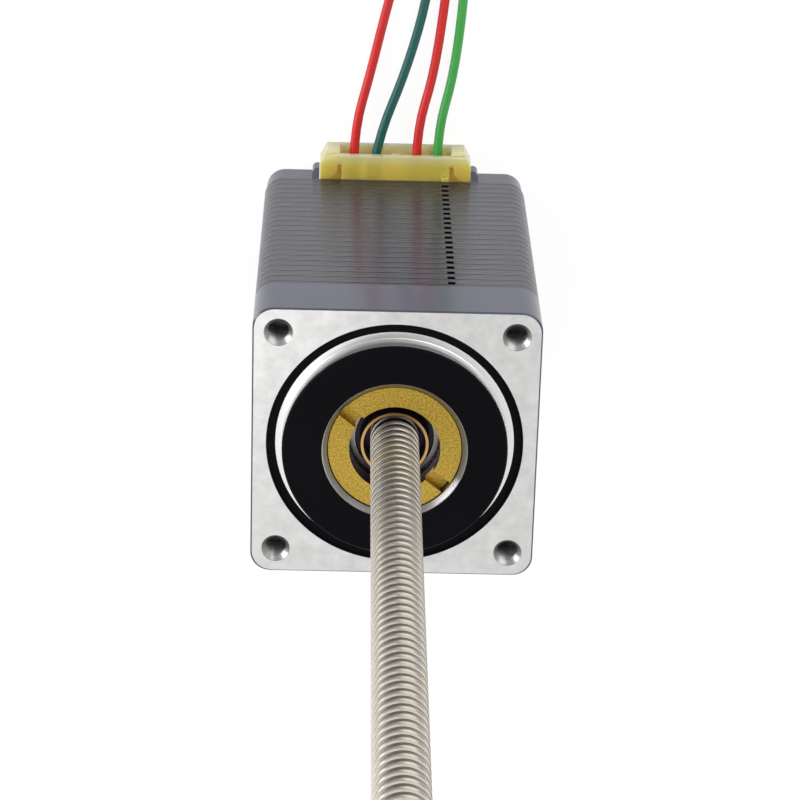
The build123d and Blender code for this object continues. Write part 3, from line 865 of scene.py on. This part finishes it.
class MOTOR_OT_core(bpy.types.Operator):
    """Models the laminated core with its joints, locating notches, poles and teeth"""

    bl_idname = "motor.core"
    bl_label = "Laminated core"

    notch_from, notch_to = 4.925, 5.675
    # Depth of the first notch's middle joint, and a notch's reach from its joint in layers
    notch_first, notch_reach = 0.85, 0.7
    notch_count = 21
    # Share of the joint's depth and half its width: at every fourth joint, and at the others
    deep_joint, fine_joint = (0.8, 0.08), (0.3, 0.03)
    # Layers differ in size by up to this much.
    layer_spread = 0.004
    bore_r, bolt_r = 7.1, 1.4
    pole_count, pole_half = 8, 1.7
    shoe_tip, shoe_root = 0.35, 0.8
    slot_r, slot_steps = 12.4, 6
    tooth_count, tooth_depth = 6, 0.35
    tooth_pitch, tooth_width = radians(7.2), radians(3.4)

    def execute(self, context):
        bm = bmesh.new()
        raise_wall(bm, square_loop(bm, (self.notch_from, self.notch_to)), self.levels())
        self.poles(bm)
        for place in hole_places():
            turned(bm, [(self.bolt_r, COVER_BACK), (self.bolt_r, STACK_BACK)],
                steps=24, centre=place)
        fill_level(bm, COVER_BACK)
        fill_level(bm, STACK_BACK)
        clean(bm)
        self.notches(bm)
        finish_piece("laminated_core", bm, [coated_core(), black_coat()],
            "stator_stack")
        return {"FINISHED"}

    def joints(self):
        """Heights of the joints between layers, in step with the notches."""
        layer = sizes().lamination
        first = COVER_BACK - self.notch_first + 2 * layer
        count = int((first - STACK_BACK) / layer) + 1
        return [first - n * layer for n in range(count)]

    def levels(self):
        """Heights and insets down the wall: a groove at each joint, a deeper one at each fourth."""
        made = []
        for number, height in enumerate(self.joints()):
            share, wide = self.deep_joint if number % QUARTERS == 1 else self.fine_joint
            sheet = self.layer_spread * ((number * 7) % QUARTERS) / (QUARTERS - 1)
            made += [(height + wide, sheet), (height, sizes().layer_groove * share),
                (height - wide, sheet)]
        made = [(height, inset) for height, inset in made
            if COVER_BACK - 0.02 > height > STACK_BACK + 0.02]
        return made + [(STACK_BACK, 0)]

    def poles(self, bm):
        """The bore's outline: one pole with its teeth, turned about the axis."""
        root_r = self.bore_r + self.tooth_depth
        outer = (self.tooth_count - 1) / 2
        teeth = []
        for n in range(self.tooth_count):
            middle = (n - outer) * self.tooth_pitch
            for radius, side in ((root_r, -1), (self.bore_r, -1), (self.bore_r, 1), (root_r, 1)):
                teeth.append(polar(radius, middle + side * self.tooth_width / 2))
        tip = outer * self.tooth_pitch + self.tooth_width / 2
        shoe = [polar(root_r + self.shoe_tip, tip), (root_r + self.shoe_root, self.pole_half)]
        rim = asin(self.pole_half / self.slot_r)
        lower = [polar(self.slot_r, -rim)] + [(x, -y) for x, y in reversed(shoe)]
        slot = tau / self.pole_count - 2 * rim
        arc = [polar(self.slot_r, rim + slot * n / self.slot_steps)
            for n in range(self.slot_steps + 1)]
        verts = [bm.verts.new((x, y, COVER_BACK)) for x, y in lower + teeth + shoe + arc]
        edges = [bm.edges.new(pair) for pair in zip(verts, verts[1:])]
        made = edges[:]
        for n in range(1, self.pole_count):
            copy = bmesh.ops.duplicate(bm, geom=verts + edges)["geom"]
            turn = Matrix.Rotation(n * tau / self.pole_count, 3, "Z")
            bmesh.ops.rotate(bm, cent=(0, 0, 0), matrix=turn, verts=points_in(copy))
            made += edges_in(copy)
        bmesh.ops.remove_doubles(bm, verts=list({v for e in made for v in e.verts}), dist=COPY_WELD)
        inner = [e for e in loop_edges(bm, COVER_BACK)
            if hypot(*e.verts[0].co.xy) < self.slot_r + 0.1]
        fresh = bmesh.ops.extrude_edge_only(bm, edges=inner)["geom"]
        bmesh.ops.translate(bm, vec=(0, 0, STACK_BACK - COVER_BACK), verts=points_in(fresh))

    def notches(self, bm):
        """Sinks a notch into two of every four layers, a layer later on each next side."""
        layer = sizes().lamination
        middle_x = (self.notch_from + self.notch_to) / 2
        top = COVER_BACK - self.notch_first + self.notch_reach * layer
        for side in range(QUARTERS):
            turn = Matrix.Rotation(pi / 2 * side, 3, "Z")
            chosen = []
            for face in bm.faces:
                here = turn @ face.calc_center_median()
                step = (top - here.z) / layer - side
                if (here.y > HALF_SIDE - 0.1 and abs(here.x - middle_x) < 0.1
                        and step % QUARTERS < 2 * self.notch_reach
                        and 0 <= step // QUARTERS < self.notch_count):
                    chosen.append(face)
            made = bmesh.ops.extrude_face_region(bm, geom=chosen)["geom"]
            bmesh.ops.delete(bm, geom=chosen, context="FACES")
            inward = turn.transposed() @ Vector((0, -sizes().notch_depth, 0))
            bmesh.ops.translate(bm, vec=inward, verts=points_in(made))
            sunk = [g for g in made if isinstance(g, bmesh.types.BMFace)]
            # The notches and the faces round them take the dull black coat: painted shade in the
            # recesses.
            for face in {other for f in sunk for edge in f.edges for other in edge.link_faces}:
                face.material_index = SECOND


class MOTOR_OT_rear_cover(bpy.types.Operator):
    """Finishes the rear cover and its four bolts"""

    bl_idname = "motor.rear_cover"
    bl_label = "Rear cover"

    # The ears beside the connector slope down from here to the joint with the core.
    ear_root = 13.87
    ear_slope = 2.6

    def execute(self, context):
        bm = merged_copy("rear_cover")
        cut(bm, (0, self.ear_root, 0), (0, 1, 0))
        for vert in bm.verts:
            if vert.co.y > self.ear_root and vert.co.z > STACK_BACK - 0.1:
                vert.co.z -= self.ear_slope * (vert.co.y - self.ear_root)
        finish_piece("coated_rear_cover", bm, [coated_casting()], "rear_cover",
            soft_mm=0.1)
        # Zinc plate: a cool bright skin with fine draw marks.
        finish_piece("plated_case_bolts", merged_copy("case_bolts"),
            [plain_metal("zinc_plate", "#a9abb0", 0.32)], "case_bolts", soft_mm=0.12)
        return {"FINISHED"}


class MOTOR_OT_retaining_ring(bpy.types.Operator):
    """Finishes the brass ring in the pilot's mouth: grainy outside, with painted shade in its bore
    """

    bl_idname = "motor.retaining_ring"
    bl_label = "Retaining ring"

    bore_r = 4.45

    def execute(self, context):
        bm = merged_copy("bearing_retaining_ring")
        # The bore's faces take painted shade, a dark brown-black, in place of the brass.
        for face in bm.faces:
            if all(hypot(*v.co.xy) < self.bore_r + 0.05 for v in face.verts):
                face.material_index = SECOND
        finish_piece("blasted_retaining_ring", bm, [blasted_brass(), painted_shade_bore()],
            "bearing_retaining_ring", soft_mm=0.06)
        return {"FINISHED"}


class MOTOR_OT_nut_and_shaft(bpy.types.Operator):
    """Models the turned lead nut and the hollow shaft that carries it"""

    bl_idname = "motor.nut_and_shaft"
    bl_label = "Nut and shaft"

    rim_inner_r, rim_outer_r = 3.06, 3.32
    nut_r, nut_chamfer = 3.4, 0.12
    flange_r, flange_z = 3.81, -2.2
    counterbore_r, counterbore_z = 2.95, -2.5
    thread_gap = 0.05
    seat_r, shaft_bore_r = 4.48, 3.83
    round_steps = 96

    def execute(self, context):
        self.nut()
        self.shaft()
        return {"FINISHED"}

    def nut(self):
        """The nut: bright brass at its front rim, painted shade on its walls behind it."""
        bore, edge = SCREW_R + self.thread_gap, -self.nut_chamfer
        nut = bmesh.new()
        turned(nut, [
            (self.rim_inner_r, 0), (self.rim_outer_r, 0), (self.nut_r, edge),
            (self.nut_r, self.flange_z), (self.flange_r - 0.01, self.flange_z),
            (self.flange_r, self.flange_z - 0.05), (self.flange_r, NUT_BACK), (bore, NUT_BACK),
            (bore, self.counterbore_z), (self.counterbore_r, self.counterbore_z),
            (self.counterbore_r, edge),
        ], self.round_steps, closed=True)
        clean(nut)
        # Faces behind the front rim take painted shade in place of the brass.
        for face in nut.faces:
            if min(v.co.z for v in face.verts) < -0.1:
                face.material_index = SECOND
        finish_piece("turned_lead_nut", nut, [turned_brass(), painted_shade_bore()],
            "lead_nut", "rotor")

    def shaft(self):
        """The hollow shaft, thicker between the front bearing and the rotor."""
        rotor_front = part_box("front_rotor_cup")[1].z / MM
        bearing_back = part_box("front_bearing_inner_ring")[0].z / MM
        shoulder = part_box("rotor_shaft")[1].x / MM
        outer, inner, front = self.seat_r, self.shaft_bore_r, SHAFT_FRONT
        shaft = bmesh.new()
        turned(shaft, [
            (inner, front - 0.05), (inner + 0.05, front), (outer - 0.15, front),
            (outer, front - 0.15), (outer, bearing_back), (shoulder, bearing_back),
            (shoulder, rotor_front), (outer, rotor_front), (outer, SHAFT_BACK), (inner, SHAFT_BACK),
        ], self.round_steps, closed=True)
        clean(shaft)
        finish_piece("ground_rotor_shaft", shaft, [ground_steel()],
            "rotor_shaft", "rotor")


class MOTOR_OT_lead_screw(bpy.types.Operator):
    """Models the lead screw with its rolled right-hand thread"""

    bl_idname = "motor.lead_screw"
    bl_label = "Lead screw"

    steps = 48
    groove_steps = 10
    # Turns wound past each end before it is cut off
    spare_turns = 2
    # Where the groove's painted shade begins below the crests, and the ends' chamfer
    crest_depth = 0.02
    end_chamfer = 0.4

    def execute(self, context):
        pitch = sizes().thread_pitch
        crest = sizes().crest_width / 2
        start = SCREW_REAR - self.spare_turns * pitch + (sizes().crest_phase - SCREW_REAR) % pitch
        # A groove of half an ellipse between flat crests, as thread rolls leave it
        half = pitch / 2 - crest
        depth = sizes().thread_depth
        section = [(SCREW_R, -crest)]
        for n in range(self.groove_steps + 1):
            turn = pi * n / self.groove_steps
            section.append((SCREW_R - depth * sin(turn), crest + half * (1 - cos(turn))))
        turns = ceil((SCREW_FRONT - SCREW_REAR) / pitch) + 2 * self.spare_turns
        bm = bmesh.new()
        helix(bm, [(r, start + z) for r, z in section], (0, 0), pitch, turns, self.steps)
        for level, way in ((SCREW_REAR, -1), (SCREW_FRONT, 1)):
            rim = cut(bm, (0, 0, level), (0, 0, way), clear=True)
            bmesh.ops.triangle_fill(bm, edges=rim, use_beauty=True)
        # Faces below the crests take the second material: the painted shade of the grooves.
        for face in bm.faces:
            if min(hypot(*v.co.xy) for v in face.verts) < SCREW_R - self.crest_depth:
                face.material_index = SECOND
        for vert in bm.verts:
            self.chamfer(vert)
        clean(bm)
        # The grooves take a copy at 0.64 of the colour: painted shade.
        finishes = [rolled_steel("rolled_crest", 1.0), rolled_steel("rolled_groove_painted_shade", 0.64)]
        finish_piece("rolled_lead_screw", bm, finishes, "lead_screw", "screw",
            sharp_deg=42)
        return {"FINISHED"}

    def chamfer(self, vert):
        """Turns the ends down to 45 degrees."""
        radius = hypot(*vert.co.xy)
        from_end = min(vert.co.z - SCREW_REAR, SCREW_FRONT - vert.co.z)
        most = SCREW_R - self.end_chamfer + from_end
        if radius > most:
            vert.co.x *= most / radius
            vert.co.y *= most / radius


class MOTOR_OT_connector(bpy.types.Operator):
    """Finishes the moulded connector housing"""

    bl_idname = "motor.connector"
    bl_label = "Connector"

    def execute(self, context):
        finish_piece("moulded_connector_housing", merged_copy("connector_housing"),
            [natural_nylon()], "connector_housing", soft_mm=0.07)
        return {"FINISHED"}


class MOTOR_OT_inner_parts(bpy.types.Operator):
    """Gives the parts inside the motor their finishes"""

    bl_idname = "motor.inner_parts"
    bl_label = "Inner parts"

    def execute(self, context):
        wire = magnet_wire()
        carrier = filled_nylon()
        race = ground_steel("bearing_steel", 1.15)
        spring = plain_metal("spring_steel", "#77777c", 0.34)
        punched = plain_metal("punched_core_steel", "#8a8a8c", 0.38)
        tinned = plain_metal("tinned_copper", "#bdbcb8", 0.28)
        looks = {
            "phase_a_coils": wire, "phase_b_coils": wire,
            "front_insulator": carrier, "rear_insulator": carrier, "wave_washer": spring,
            "front_rotor_cup": punched, "rear_rotor_cup": punched,
            # Nickel-plated sintered magnet: smooth and dark
            "rotor_magnet": plain_metal("plated_magnet", "#6d6b68", 0.3),
            "rear_spacer": ground_steel("spacer_steel", 0.95),
            "terminal_pins": tinned, "crimp_contacts": tinned,
        }
        for end in ("front", "rear"):
            for part in ("outer_ring", "inner_ring", "balls"):
                looks[f"{end}_bearing_{part}"] = race
            looks[f"{end}_bearing_cage"] = spring
        for name, material in looks.items():
            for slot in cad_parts[name].material_slots:
                slot.material = material
        return {"FINISHED"}


STEPS = (
    MOTOR_OT_stage, MOTOR_OT_leads, MOTOR_OT_front_cover, MOTOR_OT_core, MOTOR_OT_rear_cover,
    MOTOR_OT_retaining_ring, MOTOR_OT_nut_and_shaft, MOTOR_OT_lead_screw, MOTOR_OT_connector,
    MOTOR_OT_inner_parts,
)


class MOTOR_PT_panel(bpy.types.Panel):
    """Lists the steps that dress the motor"""

    bl_idname = "MOTOR_PT_panel"
    bl_label = "Motor"
    bl_space_type = "VIEW_3D"
    bl_region_type = "UI"
    bl_category = "Motor"

    def draw(self, context):
        for step in STEPS:
            self.layout.operator(step.bl_idname)
        for group in (sizes(), colours()):
            for name in group.__annotations__:
                self.layout.prop(group, name)


CLASSES = (MotorSizes, MotorColours, *STEPS, MOTOR_PT_panel)


def register():
    for cls in CLASSES:
        bpy.utils.register_class(cls)
    bpy.types.Scene.motor_sizes = PointerProperty(type=MotorSizes)
    bpy.types.Scene.motor_colours = PointerProperty(type=MotorColours)


def unregister():
    del bpy.types.Scene.motor_colours
    del bpy.types.Scene.motor_sizes
    for cls in reversed(CLASSES):
        bpy.utils.unregister_class(cls)


def main():
    """Registers the classes and dresses the motor step by step."""
    register()
    for step in STEPS:
        group, name = step.bl_idname.split(".")
        getattr(getattr(bpy.ops, group), name)()


if __name__ == "__main__":
    main()
